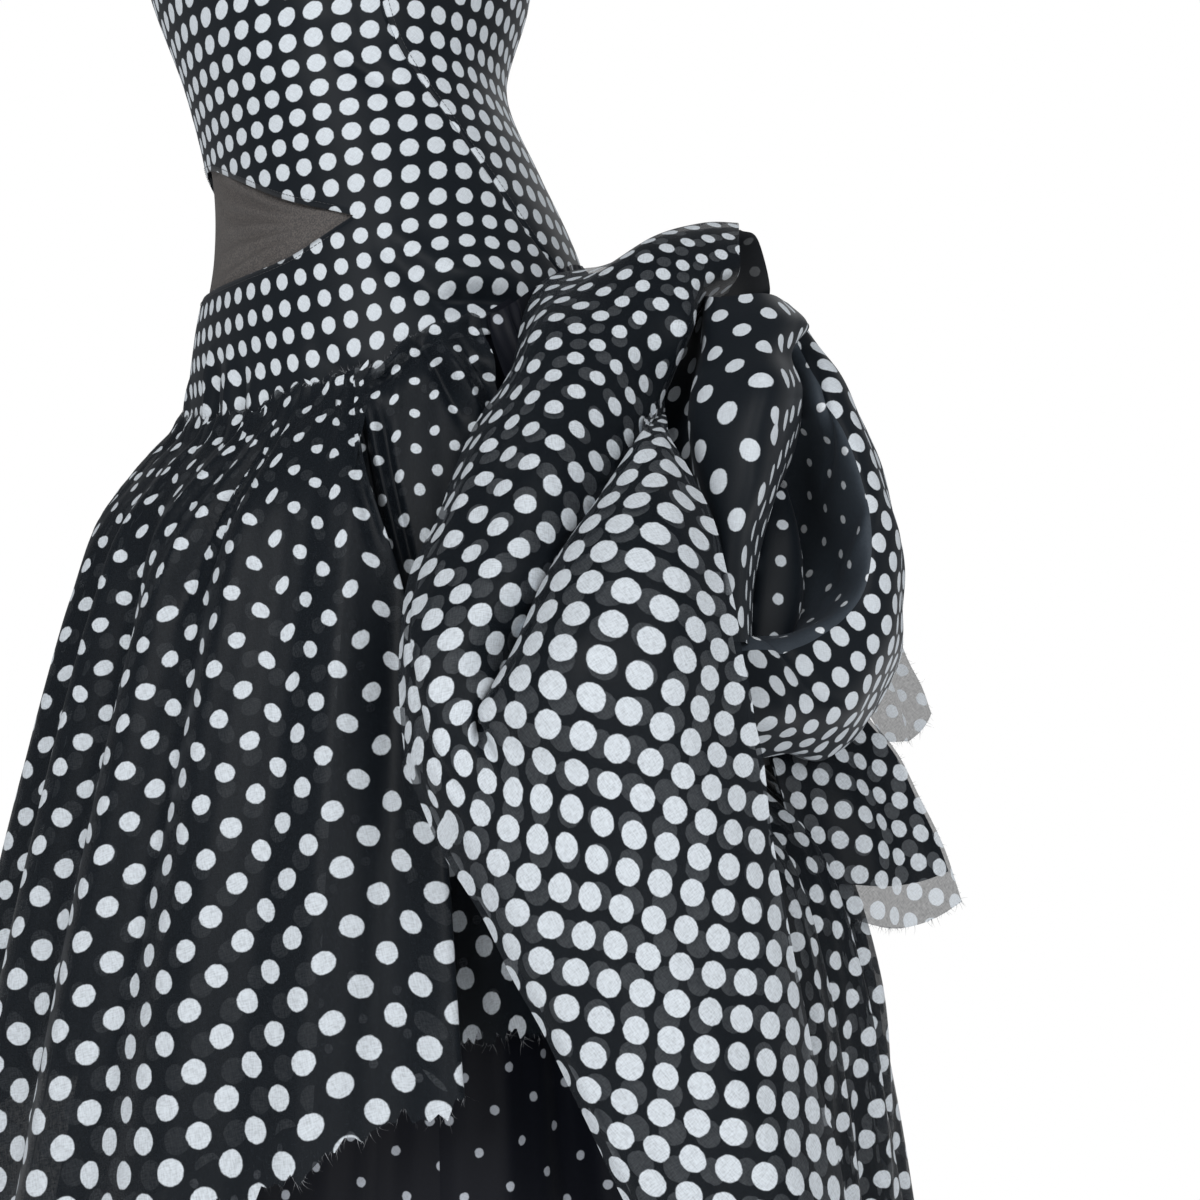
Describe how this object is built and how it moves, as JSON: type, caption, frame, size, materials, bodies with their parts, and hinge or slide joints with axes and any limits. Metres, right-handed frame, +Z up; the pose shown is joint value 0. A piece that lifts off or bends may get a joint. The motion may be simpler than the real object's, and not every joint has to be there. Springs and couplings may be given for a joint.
{
  "type": "flamenco dress",
  "caption": "Strapless flamenco dress of dotted silk organza with a sheer front inset, gathered layered skirt and a puffed drape at the left hip.",
  "frame": {"origin": "middle of the waist, where the wearer's waist holds the dress up", "axes": "+Z up, -Y is the wearer's front, +X is the wearer's left"},
  "size_m": [0.7101, 0.5819, 1.1042],
  "materials": {
    "dotted_organza": "black silk organza printed with pale dots, soft sheen",
    "sheer_dotted_organza": "one layer of sheer black silk organza with pale dots",
    "underskirt_organza": "near-black organza with small pale dots",
    "sheer_net": "fine taupe-grey sheer net",
    "zip_tape": "black woven tape",
    "zip_metal": "black enamelled metal"
  },
  "bodies": {
    "root": {"front_panel": "dotted_organza", "back_panel_left": "dotted_organza", "back_panel_right": "dotted_organza", "sheer_inset": "sheer_net", "zip_tape": "zip_tape", "zip_slider": "zip_metal", "underskirt_front": "underskirt_organza", "underskirt_back": "underskirt_organza", "overskirt_front": "sheer_dotted_organza", "overskirt_back": "sheer_dotted_organza", "drape_base": "dotted_organza", "drape_fall": "dotted_organza", "pouf_hollow": "dotted_organza", "pouf_rim": "dotted_organza", "drape_mid_fold": "dotted_organza", "drape_roll": "dotted_organza", "drape_flap_outer": "dotted_organza", "drape_flap_inner": "dotted_organza", "tail_upper": "sheer_dotted_organza", "tail_lower": "sheer_dotted_organza"},
    "zip_pull_tab": {"zip_pull": "zip_metal"}
  },
  "joints": [
    {"name": "zip_pull_swing", "type": "hinge", "parent": "root", "child": "zip_pull_tab", "pos_m": [0, 0.12692, 0.143], "axis": [1, 0, 0], "range_deg": [0, 170]}
  ]
}
